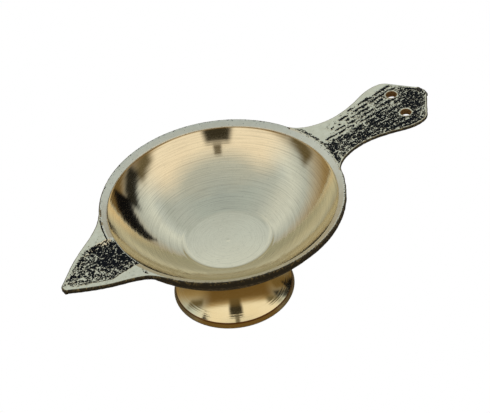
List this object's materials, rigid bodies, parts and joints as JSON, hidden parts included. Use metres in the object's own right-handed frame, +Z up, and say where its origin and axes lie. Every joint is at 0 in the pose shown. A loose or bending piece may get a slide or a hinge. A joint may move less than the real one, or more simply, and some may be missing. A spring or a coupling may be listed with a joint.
{
  "type": "diya oil lamp",
  "caption": "Cast and turned brass oil lamp with a round bowl, a pointed wick spout, a flat leaf-shaped handle and a waisted round foot.",
  "frame": {"origin": "centre of the foot's bottom face, where the lamp stands", "axes": "+Z up along the bowl's axis, +X toward the handle, so the spout points along -X"},
  "size_m": [0.1622, 0.09, 0.0447],
  "materials": {
    "cast_brass": "turned satin inside and on the rim, blackened casting skin on the spout, handle and underside",
    "turned_brass": "polished, with fine turning marks",
    "screw_brass": "machined",
    "washer_steel": "plated"
  },
  "bodies": {
    "root": {"lamp_body": "cast_brass", "foot": "turned_brass", "foot_screw": "screw_brass", "plain_washer": "washer_steel", "spring_washer": "washer_steel"}
  },
  "joints": []
}
